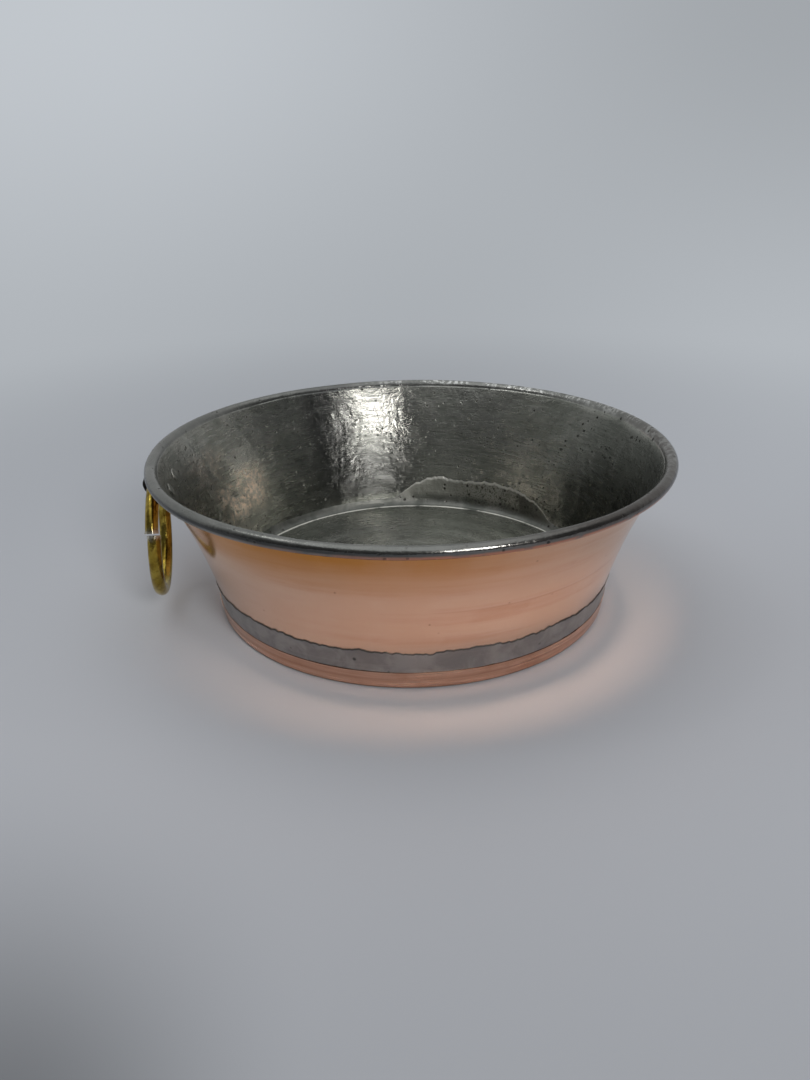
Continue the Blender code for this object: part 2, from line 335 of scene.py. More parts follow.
class Paint(Nodes):
    """A metal being built. Its colour is laid on in coats."""

    def __init__(self, name):
        self.material = bpy.data.materials.new(name)
        self.material.use_nodes = True
        super().__init__(self.material.node_tree)
        self.place = self.coordinates("Object")
        self.x, self.y, self.z = self.axes(self.place)
        self.radius = self.hypotenuse(self.x, self.y)
        self.climb = self.total(self.radius, self.z)
        self.colour = None

    def coat(self, tint, *shares):
        """Lays tint over the colour, by the product of the shares."""
        self.colour = self.mix(self.product(*shares), self.colour, tint)

    def relief(self, *layers):
        """The sum of patterns, each given with its depth in metres."""
        return self.total(*[self.product(pattern, depth) for pattern, depth in layers])

    def attribute(self, name):
        """A mesh attribute's value."""
        return self.add("ShaderNodeAttribute", {}, attribute_name=name).outputs["Fac"]

    def grid(self, along, across):
        """Coordinates stretched round the bowl: along scales x and y, across the climb up floor and wall."""
        x, y = self.product(self.x, along), self.product(self.y, along)
        return self.add("ShaderNodeCombineXYZ", {0: x, 1: y, 2: self.product(self.climb, across)}).outputs[0]

    def noise(self, vector, scale, detail, roughness, distortion=0.0):
        return self.add("ShaderNodeTexNoise", {
            "Vector": vector,
            "Scale": scale,
            "Detail": detail,
            "Roughness": roughness,
            "Distortion": distortion,
        }).outputs[0]

    def cells(self, vector, scale):
        """Distance to the nearest of scattered points, and a random value for each point's cell."""
        scattered = self.add("ShaderNodeTexVoronoi", {"Vector": vector, "Scale": scale})
        split = self.add("ShaderNodeSeparateColor", {0: scattered.outputs["Color"]})
        return scattered.outputs["Distance"], split.outputs[0]

    def mix(self, share, a, b):
        return self.add("ShaderNodeMix", {0: share, 6: a, 7: b}, data_type="RGBA").outputs[2]

    def facing(self, azimuth, width):
        """1 where the point lies at this azimuth, fading to 0 at width to either side, both in degrees."""
        angle = math.radians(azimuth)
        cosine = self.math(
            "DIVIDE",
            self.total(self.product(self.x, math.cos(angle)), self.product(self.y, math.sin(angle))),
            self.math("MAXIMUM", self.radius, 1e-5),
        )
        return self.ease(cosine, math.cos(math.radians(width)), 1.0)

    def metal(self, roughness, height, metallic=1.0, anisotropy=None):
        """The finished material. height is the fine relief in metres, and anisotropy is for a finish that is
        brushed round the axis."""
        bump = self.add("ShaderNodeBump", {"Strength": 1.0, "Distance": 1.0, "Height": height})
        finish = {"Base Color": self.colour, "Roughness": roughness, "Metallic": metallic}
        finish["Normal"] = bump.outputs[0]
        if anisotropy is not None:
            tangent = self.add("ShaderNodeTangent", {}, direction_type="RADIAL", axis="Z")
            finish["Anisotropic"] = anisotropy
            finish["Anisotropic Rotation"] = 0.25
            finish["Tangent"] = tangent.outputs[0]
        shader = self.add("ShaderNodeBsdfPrincipled", finish)
        self.add("ShaderNodeOutputMaterial", {0: shader.outputs[0]})
        return self.material


# ---------------------------------------------------------------- materials
# Colours are linear. Azimuths are in degrees from +X: the lug is at 180 and the camera is near -100.
# A metal's height is made of patterns times their depths in metres.

NEAR_BLACK = (0.05, 0.05, 0.045)
PIT_BLACK = (0.045, 0.042, 0.04)


def polished_copper():
    """Hand-polished: near a mirror, with faint marks round the bowl and an orange bloom under the rim."""
    clean = (0.90, 0.595, 0.43)
    pale = (0.93, 0.645, 0.49)
    reddish = (0.83, 0.49, 0.33)
    orange = (0.68, 0.28, 0.035)
    brown = (0.70, 0.36, 0.21)
    line_brown = (0.62, 0.32, 0.20)
    speck_brown = (0.25, 0.12, 0.08)
    paint = Paint("polished_copper")
    cloud = paint.noise(paint.place, 35, 4, 0.55)
    smear = paint.noise(paint.grid(8, 90), 1, 4, 0.6)
    polish = paint.noise(paint.grid(30, 2600), 1, 3, 0.6)
    grain = paint.noise(paint.place, 2200, 2, 0.5)
    speck_distance, speck_pick = paint.cells(paint.place, 260)
    speck = paint.product(paint.ease(speck_distance, 0.16, 0.05), paint.ease(speck_pick, 0.93, 0.97))
    under_rim = paint.ease(paint.total(paint.z, paint.product(smear, 0.012)), 0.046, 0.075)
    left_front = paint.total(0.10, paint.product(paint.facing(-128, 64), 0.90))
    bloom = paint.product(under_rim, paint.ease(cloud, 0.25, 0.65, 0.7, 1.0), left_front)
    stained = paint.product(paint.ease(cloud, 0.48, 0.60), paint.ease(smear, 0.38, 0.62), 0.25)
    from_line = paint.math("ABSOLUTE", paint.total(paint.z, -LATHE_LINE_Z))
    on_line = paint.ease(from_line, LATHE_LINE_WIDTH, 0.0)
    scored = paint.product(on_line, paint.facing(-40, 80), paint.ease(smear, 0.35, 0.65), 0.55)
    paint.colour = paint.mix(paint.ease(cloud, 0.35, 0.7), clean, pale)
    paint.coat(reddish, paint.ease(smear, 0.45, 0.72, 0.0, 0.7))
    paint.coat(orange, bloom)
    paint.coat(brown, stained)
    paint.coat(line_brown, scored)
    paint.coat(speck_brown, speck, 0.6)
    roughness = paint.total(
        0.12,
        paint.ease(smear, 0.35, 0.75, 0.0, 0.05),
        paint.ease(polish, 0.4, 0.7, 0.0, 0.03),
    )
    height = paint.relief((polish, 0.000005), (grain, 0.0000015), (smear, 0.00004))
    return paint.metal(roughness, height)


def foot_copper():
    """Duller and redder than the wall, and streaked, with painted shade along a faint crease and a painted
    contact shadow along its bottom.
    """
    worn_off = (0.62, 0.34, 0.225)
    bright = (0.86, 0.56, 0.42)
    clouded = (0.50, 0.24, 0.145)
    crease_shade = (0.42, 0.20, 0.13)
    contact_shadow = (0.16, 0.08, 0.05)
    paint = Paint("foot_copper")
    cloud = paint.noise(paint.place, 60, 4, 0.6)
    streak = paint.noise(paint.grid(25, 600), 1, 4, 0.6)
    crease = paint.between(paint.z, (0.0036, 0.0044), (0.0046, 0.0054))
    contact = paint.ease(paint.z, 0.0012, 0.0002)
    paint.colour = paint.mix(paint.ease(streak, 0.30, 0.75), worn_off, bright)
    paint.coat(clouded, paint.ease(cloud, 0.45, 0.75, 0.0, 0.5))
    # Painted shade along the crease.
    paint.coat(crease_shade, crease, 0.4)
    # Painted contact shadow along the bottom of the foot.
    paint.coat(contact_shadow, contact, 0.7)
    roughness = paint.total(0.20, paint.product(streak, 0.12), paint.product(contact, 0.2))
    height = paint.relief((streak, 0.00008), (cloud, 0.0002), (crease, -0.00006))
    return paint.metal(roughness, height)


def pit_cluster(paint):
    """1 in the low, pitted part of the inner wall that is away from the lug and the camera."""
    return paint.product(paint.facing(44, 26), paint.between(paint.z, (0.006, 0.010), (0.019, 0.027)))


def tin_patterns(paint):
    """The patterns that the tin's colour, roughness and relief share."""
    look = SimpleNamespace()
    look.cloud = paint.noise(paint.place, 26, 5, 0.62, 0.6)
    look.patch = paint.noise(paint.place, 85, 5, 0.62, 0.5)
    look.fleck = paint.noise(paint.place, 420, 4, 0.65)
    look.wipe = paint.noise(paint.grid(75, 420), 1, 5, 0.68)
    look.scratch = paint.noise(paint.grid(110, 1700), 1, 3, 0.6)
    look.grain = paint.noise(paint.place, 1500, 3, 0.6)
    pit_distance, pit_pick = paint.cells(paint.place, 400)
    cluster = pit_cluster(paint)
    look.pit = paint.product(
        paint.ease(pit_distance, 0.34, 0.14),
        paint.ease(paint.total(pit_pick, paint.product(cluster, 0.45)), 0.74, 0.80),
        paint.math("MAXIMUM", paint.ease(look.patch, 0.40, 0.60), cluster),
    )
    spot_distance, spot_pick = paint.cells(paint.place, 150)
    look.spot = paint.product(paint.ease(spot_distance, 0.17, 0.07), paint.ease(spot_pick, 0.84, 0.90))
    look.off_floor = paint.ease(paint.z, 0.008, 0.014)
    from_bead = paint.hypotenuse(paint.total(paint.radius, -BEAD_R), paint.total(paint.z, -BEAD_Z))
    look.bead = paint.ease(from_bead, BEAD_RADIUS * 1.35, BEAD_RADIUS * 1.08)
    return look


def coat_tin_sheet(paint, look):
    """Clouded grey and olive, streaked by wiping, with dark and bright scratches."""
    olive = (0.29, 0.30, 0.265)
    grey = (0.50, 0.50, 0.46)
    layers = (
        # pattern, its value where the tint starts, its value where it is full, strength, tint
        (look.patch, 0.50, 0.68, 0.7, (0.50, 0.49, 0.45)),
        (look.patch, 0.44, 0.28, 0.6, (0.13, 0.135, 0.12)),
        (look.wipe, 0.52, 0.72, 0.45, (0.58, 0.57, 0.53)),
        (look.wipe, 0.46, 0.28, 0.4, (0.13, 0.13, 0.115)),
        (look.scratch, 0.42, 0.28, 0.6, (0.10, 0.10, 0.09)),
        (look.grain, 0.44, 0.32, 0.6, (0.10, 0.10, 0.09)),
    )
    paint.colour = paint.mix(paint.ease(look.cloud, 0.32, 0.70), olive, grey)
    for pattern, start, full, strength, tint in layers:
        paint.coat(tint, paint.ease(pattern, start, full, 0.0, strength))
    scratched = paint.product(paint.ease(look.scratch, 0.60, 0.74), paint.ease(look.wipe, 0.40, 0.60))
    paint.coat((0.72, 0.71, 0.67), scratched, 0.7)
    paint.coat((0.60, 0.59, 0.55), paint.ease(look.fleck, 0.60, 0.74, 0.0, 0.55))


def coat_tin_wall(paint, look):
    """The wall's large areas, each towards its own azimuth and over its own heights: painted shade towards -14
    degrees, painted shade over and beside the lamp's highlight on the back wall, rubbed streaks, a brownish
    patch near the lug and a dark stain low down.
    """
    shade = (0.10, 0.105, 0.092)
    rubbed = (0.66, 0.65, 0.60)
    highlight_dimming_shade = (0.092, 0.092, 0.091)
    brownish = (0.30, 0.26, 0.235)
    below_bead = paint.ease(paint.z, BEAD_Z, BEAD_Z - 0.004)
    # Painted shade: the inner wall towards -14 degrees is darkened below the bead and off the floor.
    paint.coat(shade, paint.facing(-14, 62), below_bead, look.off_floor, 0.8)
    streaks = paint.product(paint.ease(look.wipe, 0.38, 0.60), paint.ease(paint.z, 0.014, 0.030))
    paint.coat(rubbed, paint.facing(66, 30), streaks, 0.45)
    # Painted shade over the back wall's highlight and beside it, dimming and narrowing the lamp's reflection
    # there.
    back = paint.product(paint.facing(95, 26), paint.ease(paint.z, 0.052, 0.030, 0.42, 0.80), look.off_floor)
    uneven = paint.product(paint.ease(look.patch, 0.35, 0.55, 0.60, 0.85), paint.ease(paint.z, 0.012, 0.020))
    beside = paint.product(paint.facing(105, 12), uneven)
    paint.coat(highlight_dimming_shade, paint.math("MAXIMUM", back, beside))
    patchy = paint.ease(look.patch, 0.30, 0.60, 0.3, 1.0)
    paint.coat(brownish, paint.facing(170, 50), patchy, look.off_floor, 0.3)
    low = paint.between(paint.z, (0.007, 0.010), (0.015, 0.024))
    paint.coat(NEAR_BLACK, paint.facing(42, 24), low, paint.ease(look.fleck, 0.40, 0.56))


def painted_warm_reflection(paint, look):
    """Two patches between the lug and the back, painted bright and warm: a painted reflection of warm light on
    the tin.
    """
    low = paint.product(paint.facing(146, 15), paint.between(paint.z, (0.018, 0.028), (0.038, 0.048)))
    high = paint.product(paint.facing(157, 14), paint.between(paint.z, (0.042, 0.050), (0.056, 0.064)), 0.3)
    broken = paint.product(
        paint.ease(look.fleck, 0.40, 0.62, 0.2, 1.0),
        paint.ease(look.patch, 0.38, 0.56, 0.2, 1.0),
    )
    return paint.product(paint.total(low, high), broken)


def coat_tin_bead(paint, look):
    """The rolled rim: darkened on its side by painted shade, chipped bright on top at the back, browned and
    speckled round to
    +X, and worn to the copper underneath at the front."""
    grey = (0.24, 0.24, 0.235)
    painted_band_shade = (0.045, 0.045, 0.045)
    white = (0.92, 0.92, 0.90)
    brown = (0.11, 0.088, 0.082)
    speckle = (0.50, 0.50, 0.48)
    bare_copper = (0.62, 0.27, 0.17)
    top = paint.ease(paint.z, BEAD_Z, BEAD_Z + BEAD_RADIUS)
    under = paint.ease(paint.z, BEAD_Z, BEAD_Z - 0.45 * BEAD_RADIUS)
    side = paint.ease(paint.z, BEAD_Z + 0.75 * BEAD_RADIUS, BEAD_Z + 0.1 * BEAD_RADIUS)
    less_under = paint.ease(under, 0.0, 1.0, 1.0, 0.4)
    chips = paint.product(paint.ease(look.fleck, 0.48, 0.56), paint.ease(look.patch, 0.38, 0.52))
    patchy = paint.ease(look.patch, 0.30, 0.50, 0.6, 1.0)
    speckles = paint.product(paint.ease(look.fleck, 0.42, 0.58), paint.ease(look.patch, 0.40, 0.52))
    bare = paint.product(under, paint.ease(look.patch, 0.32, 0.50))
    paint.coat(grey, look.bead, 0.65)
    # Painted shade: a near-black band on the bead's side towards the front, standing in for the dark reflection
    # there.
    paint.coat(painted_band_shade, look.bead, side, paint.facing(-140, 80), less_under, 0.85)
    paint.coat(white, look.bead, top, paint.facing(45, 55), chips)
    paint.coat(brown, look.bead, paint.facing(-40, 60), patchy, 0.75)
    paint.coat(speckle, look.bead, paint.facing(5, 55), speckles, 0.6)
    paint.coat(bare_copper, look.bead, paint.facing(-60, 75), bare, 0.95)


def worn_tin():
    """Old wiped tin: streaked round the bowl, clouded, pitted, and brighter where it is rubbed, with painted
    shade on the wall and a painted warm reflection near the lug.
    """
    warm_reflection_colour = (1.0, 0.80, 0.63)
    hole_black = (0.035, 0.035, 0.03)
    paint = Paint("worn_tin")
    look = tin_patterns(paint)
    warm_reflection_mask = painted_warm_reflection(paint, look)
    coat_tin_sheet(paint, look)
    coat_tin_wall(paint, look)
    # Painted reflection: two bright warm patches near the lug, with the metal made less metallic there.
    paint.coat(warm_reflection_colour, warm_reflection_mask)
    coat_tin_bead(paint, look)
    holes = paint.math("MAXIMUM", look.pit, look.spot)
    paint.coat(hole_black, holes, paint.ease(warm_reflection_mask, 0.0, 0.4, 0.9, 0.15))
    roughness = paint.total(
        0.175,
        paint.ease(look.cloud, 0.3, 0.7, 0.12, 0.0),
        paint.ease(look.wipe, 0.3, 0.7, 0.08, -0.04),
        paint.product(look.pit, 0.3),
        paint.product(look.bead, -0.06),
        paint.product(warm_reflection_mask, 0.08),
    )
    height = paint.relief(
        (look.wipe, 0.00010),
        (look.scratch, 0.00003),
        (look.grain, 0.00006),
        (look.patch, 0.0006),
        (look.fleck, 0.00013),
        (look.pit, -0.00022),
        (look.spot, -0.00025),
    )
    calm_on_bead = paint.product(height, paint.ease(look.bead, 0.0, 1.0, 1.0, 0.6))
    metallic = paint.ease(warm_reflection_mask, 0.0, 1.0, 1.0, 0.5)
    brushed = paint.ease(look.bead, 0.0, 1.0, 0.75, 0.0)
    return paint.metal(roughness, calm_on_bead, metallic, brushed)


def solder_start(name, dark, light):
    """A solder material with its wiped colour, and the patterns it is made from."""
    paint = Paint(name)
    look = SimpleNamespace()
    look.cloud = paint.noise(paint.place, 90, 5, 0.6, 0.5)
    look.wipe = paint.noise(paint.grid(20, 500), 1, 5, 0.65)
    look.grain = paint.noise(paint.place, 1300, 3, 0.6)
    pit_distance, look.pit_pick = paint.cells(paint.place, 380)
    look.round_pit = paint.ease(pit_distance, 0.40, 0.18)
    paint.colour = paint.mix(paint.ease(look.cloud, 0.35, 0.68), dark, light)
    paint.coat(light, paint.ease(look.wipe, 0.5, 0.7, 0.0, 0.35))
    return paint, look


def solder_metal(paint, look, pit):
    """Solder's finish, with its pits sunk in."""
    roughness = paint.total(0.40, paint.product(look.cloud, 0.1), paint.product(look.wipe, -0.06))
    height = paint.relief((look.wipe, 0.00014), (look.grain, 0.00007), (look.cloud, 0.0006), (pit, -0.00016))
    return paint.metal(roughness, height)


def outer_solder():
    """Grey wiped solder with few pits and a thin dark line along its torn edge."""
    paint, look = solder_start("outer_solder", (0.305, 0.29, 0.28), (0.43, 0.41, 0.395))
    pit = paint.product(look.round_pit, paint.ease(look.pit_pick, 0.94, 1.0))
    paint.coat(PIT_BLACK, pit, 0.9)
    paint.coat((0.05, 0.04, 0.035), paint.attribute(THIN_EDGE), 0.75)
    return solder_metal(paint, look, pit)


def inner_solder():
    """Darker solder: paler where it is wiped up the wall, stained at one end, and bright at its edges."""
    pale = (0.40, 0.40, 0.36)
    thin_bright = (0.80, 0.79, 0.74)
    floor_edge_bright = (0.86, 0.84, 0.77)
    paint, look = solder_start("inner_solder", (0.155, 0.16, 0.145), (0.27, 0.27, 0.25))
    cluster = pit_cluster(paint)
    picked = paint.ease(paint.total(look.pit_pick, paint.product(cluster, 0.40)), 0.80, 0.86)
    pit = paint.product(look.round_pit, picked)
    paint.coat(pale, paint.facing(56, 42), paint.ease(paint.z, 0.009, 0.013), 0.8)
    paint.coat(NEAR_BLACK, cluster, paint.ease(look.grain, 0.50, 0.60), 0.7)
    paint.coat(PIT_BLACK, pit, 0.9)
    paint.coat(NEAR_BLACK, cluster, paint.facing(33, 14), paint.ease(look.cloud, 0.35, 0.50), 0.8)
    paint.coat(thin_bright, paint.attribute(THIN_EDGE), 0.75)
    # A bright line painted along the fillet's edge on the floor.
    at_floor_edge = paint.ease(paint.radius, FLOOR_EDGE + 0.0008, FLOOR_EDGE + 0.0004)
    paint.coat(floor_edge_bright, at_floor_edge, paint.ease(look.cloud, 0.30, 0.50))
    return solder_metal(paint, look, pit)


def aged_brass(cut):
    """Brass with a brown film in the hollows and bright rubbed places. Near cut, the ends are silvery."""
    olive = (0.33, 0.225, 0.032)
    gold = (0.56, 0.43, 0.09)
    brown_film = (0.12, 0.062, 0.012)
    silvery = (0.66, 0.63, 0.56)
    paint = Paint("aged_brass")
    cloud = paint.noise(paint.place, 90, 4, 0.6, 0.5)
    mottle = paint.noise(paint.place, 420, 4, 0.6)
    grain = paint.noise(paint.place, 2600, 2, 0.5)
    ragged = paint.total(paint.vector_math("DISTANCE", paint.place, cut), paint.product(mottle, 0.0030))
    near = paint.ease(ragged, 0.0058, 0.0040)
    paint.colour = paint.mix(paint.ease(cloud, 0.35, 0.65), olive, gold)
    paint.coat(brown_film, paint.ease(mottle, 0.46, 0.66, 0.0, 0.55))
    paint.coat(silvery, near)
    roughness = paint.total(0.10, paint.product(mottle, 0.12), paint.product(near, 0.18))
    height = paint.relief((mottle, 0.00010), (grain, 0.000006), (cloud, 0.0003))
    return paint.metal(roughness, height)


def dark_iron(name, light, dark):
    """Forged iron or steel with a little rust in its grain."""
    rust = (0.10, 0.055, 0.035)
    paint = Paint(name)
    cloud = paint.noise(paint.place, 220, 5, 0.6)
    grain = paint.noise(paint.place, 1400, 4, 0.6)
    paint.colour = paint.mix(paint.ease(cloud, 0.35, 0.7), dark, light)
    paint.coat(rust, paint.ease(grain, 0.6, 0.75, 0.0, 0.5))
    roughness = paint.total(0.42, paint.product(grain, 0.25))
    height = paint.relief((cloud, 0.0005), (grain, 0.00012))
    return paint.metal(roughness, height, metallic=0.85)


def tinned_rivet():
    """Iron outside the bowl, tinned with the lining inside it."""
    paint = Paint("tinned_rivet")
    cloud = paint.noise(paint.place, 260, 4, 0.6)
    grain = paint.noise(paint.place, 1400, 3, 0.6)
    slope = math.tan(TOP_TILT)
    from_wall = paint.total(paint.radius, paint.product(paint.z, -slope), BEAD_Z * slope - BEAD_R)
    inside = paint.ease(from_wall, 0.0008, -0.0018)
    iron = paint.mix(cloud, (0.05, 0.045, 0.04), (0.13, 0.12, 0.11))
    tin = paint.mix(paint.ease(cloud, 0.3, 0.7), (0.20, 0.20, 0.18), (0.52, 0.51, 0.47))
    roughness = paint.total(0.34, paint.product(grain, 0.15))
    height = paint.relief((cloud, 0.0003), (grain, 0.0001))
    paint.colour = paint.mix(inside, iron, tin)
    return paint.metal(roughness, height)


# ---------------------------------------------------------------- the bowl's sheets

WALL_WAVE = waves(3, 9, 6, 30, 0.00010)
RIM_WAVE = waves(5, 7, 9, 1, 0.00006)


def wall_wobble(azimuth, radius, height):
    """The wall is a little out of round, and its rim rises and falls."""
    return WALL_WAVE(azimuth, height), RIM_WAVE(azimuth, height) * smooth(height, 0.03, TOP_Z)


def wall_face(offset, count):
    """One face of the wall's sheet: up the wall, then round the rolled rim."""
    wall = wall_path(offset, FOOT_Z, TOP_Z, count)
    curl = arc_path((BEAD_R, BEAD_Z), CURL_RADIUS - offset, CURL_START, CURL_END, 28)
    return np.concatenate([wall, curl[1:]])


def copper_relief(azimuth, radius, height):
    """Faint turning marks, and one scored line round the middle that is deeper on one side."""
    marks = waves(11, 12, 3, 1500, 0.000004)(azimuth, height)
    lumps = waves(12, 14, 14, 160, 0.000012)(azimuth, height)
    line = np.exp(-((height - LATHE_LINE_Z) / LATHE_LINE_WIDTH) ** 2) * (0.55 + 0.45 * np.cos(azimuth + 0.7))
    below_rim = smooth(height, TOP_Z, TOP_Z - 0.004) * smooth(height, FOOT_Z, FOOT_Z + 0.004)
    return (marks + lumps - 0.00008 * line) * below_rim


def make_wall_copper(material):
    """The outside of the wall's sheet, which goes round the rim to the edge of the curl."""
    seen = wall_face(SHEET / 2, 120)
    hidden = wall_face(SKIN_GAP / 2, 24)
    skin("wall_copper", seen, hidden, -1, wall_wobble, copper_relief, material, "bowl_wall")


def make_wall_tin(material):
    """The inside of the wall's sheet: dimpled, hollowed and pitted above the inner solder."""
    dimples = waves(21, 40, 60, 900, 0.000016)
    hollows = waves(22, 16, 18, 180, 0.00004)
    scattered = pit_field(23, 150, (0, TURN), (0.018, 0.070), (0.0005, 0.0009), 0.00014)
    cluster = pit_field(24, 60, (0.45, 1.05), (0.012, 0.030), (0.0005, 0.0010), 0.00018)
    bright = pit_field(25, 60, (1.45, 1.85), (0.030, 0.066), (0.0004, 0.0008), 0.00012)

    def relief(azimuth, radius, height):
        above_foot = smooth(height, FOOT_Z, FOOT_Z + 0.004)
        on_wall = smooth(radius - np.polyval(WALL_CURVE, height), 0.0016, 0.0002)
        worked = dimples(azimuth, height) + hollows(azimuth, height)
        pitted = sum(field(azimuth, radius, height) for field in (scattered, cluster, bright))
        return (worked * (0.3 + 0.7 * on_wall) + pitted * on_wall) * above_foot

    seen = wall_face(-SHEET / 2, 110)
    hidden = wall_face(-SKIN_GAP / 2, 24)
    skin("wall_tin_lining", seen, hidden, 1, wall_wobble, relief, material, "bowl_wall")


BEND_POINTS = 9


def corner_path(corners, bends, step):
    """A path through corners with each inner one rounded to its bend, its points about step apart."""
    path = [np.array(corners[0])]
    for before, corner, after, bend in zip(corners, corners[1:], corners[2:], bends):
        before, corner, after = (np.array(point) for point in (before, corner, after))
        towards = (before - corner) / np.linalg.norm(before - corner)
        onwards = (after - corner) / np.linalg.norm(after - corner)
        half = math.acos(float(towards @ onwards)) / 2
        reach = bend / math.tan(half)
        middle = corner + (towards + onwards) / np.linalg.norm(towards + onwards) * bend / math.sin(half)
        for share in np.linspace(0, 1, BEND_POINTS):
            chord = (1 - share) * (corner + reach * towards) + share * (corner + reach * onwards) - middle
            path.append(middle + chord / np.linalg.norm(chord) * bend)
    path.append(np.array(corners[-1]))
    filled = [path[0]]
    for start, end in zip(path, path[1:]):
        parts = max(1, round(float(np.linalg.norm(end - start)) / step))
        filled += [start + (end - start) * part / parts for part in range(1, parts + 1)]
    return np.array(filled)


def pan_middle(step):
    """The base pan's middle surface from near the axis: floor, channel at the foot, flange up the wall."""
    widening = 0.00035                  # the channel is this much wider than its flat and its bends
    inner = FOOT_FLAT.min() + PAN_SHEET / 2 - CHANNEL_BEND - widening
    outer = FOOT_FLAT.max() - PAN_SHEET / 2 + CHANNEL_BEND + widening
    corners = [
        (0.002, FLOOR_TOP - PAN_SHEET / 2),
        (inner, FLOOR_TOP - PAN_SHEET / 2),
        (inner, PAN_SHEET / 2),
        (outer, PAN_SHEET / 2),
        (PAN_HIGH.x - PAN_SHEET / 2, PAN_HIGH.z),
    ]
    floor_bend = 0.0019
    return corner_path(corners, (floor_bend, CHANNEL_BEND, CHANNEL_BEND), step)


def shifted(path, offset):
    """The path moved to its left by offset."""
    return path + offset * square(path)


FLOOR_WAVE = waves(31, 12, 5, 60, 0.00012)


def floor_wobble(azimuth, radius, height):
    """The floor is beaten a little uneven, and dead true at its edge."""
    inside = smooth(radius, 0.086, 0.070)
    outwards = np.zeros(np.broadcast_shapes(azimuth.shape, height.shape))
    return outwards, FLOOR_WAVE(azimuth, 8 * radius) * inside


def make_pan_copper(material):
    """The underside of the pan and the outside of its foot."""
    middle = pan_middle(0.0012)
    ripple = waves(33, 14, 40, 500, 0.00003)

    def relief(azimuth, radius, height):
        return ripple(azimuth, radius + height) * smooth(height, 0.0008, 0.002)

    seen = shifted(middle, -PAN_SHEET / 2)
    hidden = shifted(pan_middle(0.006), -SKIN_GAP / 2)
    name = "base_copper"
    skin(name, seen, hidden, -1, floor_wobble, relief, material, "base_pan", poles=True)


def make_pan_tin(material):
    """The floor inside the bowl, and the hidden inside of the channel."""
    middle = pan_middle(0.0010)
    dimples = waves(35, 40, 30, 700, 0.000014)
    hollows = waves(36, 14, 8, 120, 0.00003)

    def relief(azimuth, radius, height):
        on_floor = smooth(radius, 0.088, 0.084) * smooth(radius, 0.0, 0.03)
        return (dimples(azimuth, radius) + hollows(azimuth, radius)) * on_floor

    seen = shifted(middle, PAN_SHEET / 2)
    hidden = shifted(pan_middle(0.006), SKIN_GAP / 2)
    name = "floor_tin_lining"
    skin(name, seen, hidden, 1, floor_wobble, relief, material, "base_pan", poles=True)


# ---------------------------------------------------------------- solder

def mark_thin_edge(made, thin):
    """Marks a turned piece's thin edge for its material. thin is 0 to 1 for each point of each section."""
    made.data.attributes.new(THIN_EDGE, "FLOAT", "POINT").data.foreach_set("value", thin.ravel())


def make_outer_solder(material):
    """A wiped band round the seam: torn along its top, notched along its bottom, thin at both edges."""
    gap = 0.00005                       # between the band and the wall
    feather = 0.00010                   # the band's thickness at its edges
    body = 0.00030
    foot_roll = 0.00050                 # how much thicker it is just above the pan
    steps = 2 * FINE
    azimuth = np.linspace(0, TURN, steps, endpoint=False)[:, None]
    torn = torn_edge(41, 0.00115)
    notch = torn_edge(42, 0.00060)
    sweep = waves(43, 5, 3, 1, 0.0006)
    top = BAND_HIGH.z - 0.0006 + torn(azimuth) + sweep(azimuth, 0)
    bottom = PAN_HIGH.z + 0.00003 + np.maximum(notch(azimuth) - 0.0002, 0)
    lumps = waves(44, 30, 70, 900, 0.00005)
    share = np.concatenate([[0, 0.01, 0.03], np.linspace(0.07, 0.93, 18), [0.965, 0.985, 1]])
    height = bottom + (top - bottom) * share
    rise = np.minimum(np.minimum(share / 0.02, (1 - share) / 0.06), 1)
    edge = np.sqrt(rise * (2 - rise))
    thick = feather + body * edge * (1 - 0.4 * share) + foot_roll * edge * np.exp(-share / 0.12)
    thick = thick + lumps(azimuth, height) * edge
    tilt = np.arctan(np.polyval(WALL_SLOPE, height))
    face = np.polyval(WALL_CURVE, height) + SHEET / 2 / np.cos(tilt) + wall_wobble(azimuth, 0, height)[0]
    radius = np.concatenate([face + gap + thick, (face + gap)[:, ::-1]], 1)
    z = np.concatenate([height, height[:, ::-1]], 1)
    band = turned("outer_solder_band", radius, z, material, ["outer_seam_solder"])
    thin = np.zeros_like(z)
    thin[:, len(share) - 3:len(share)] = 1
    mark_thin_edge(band, thin)


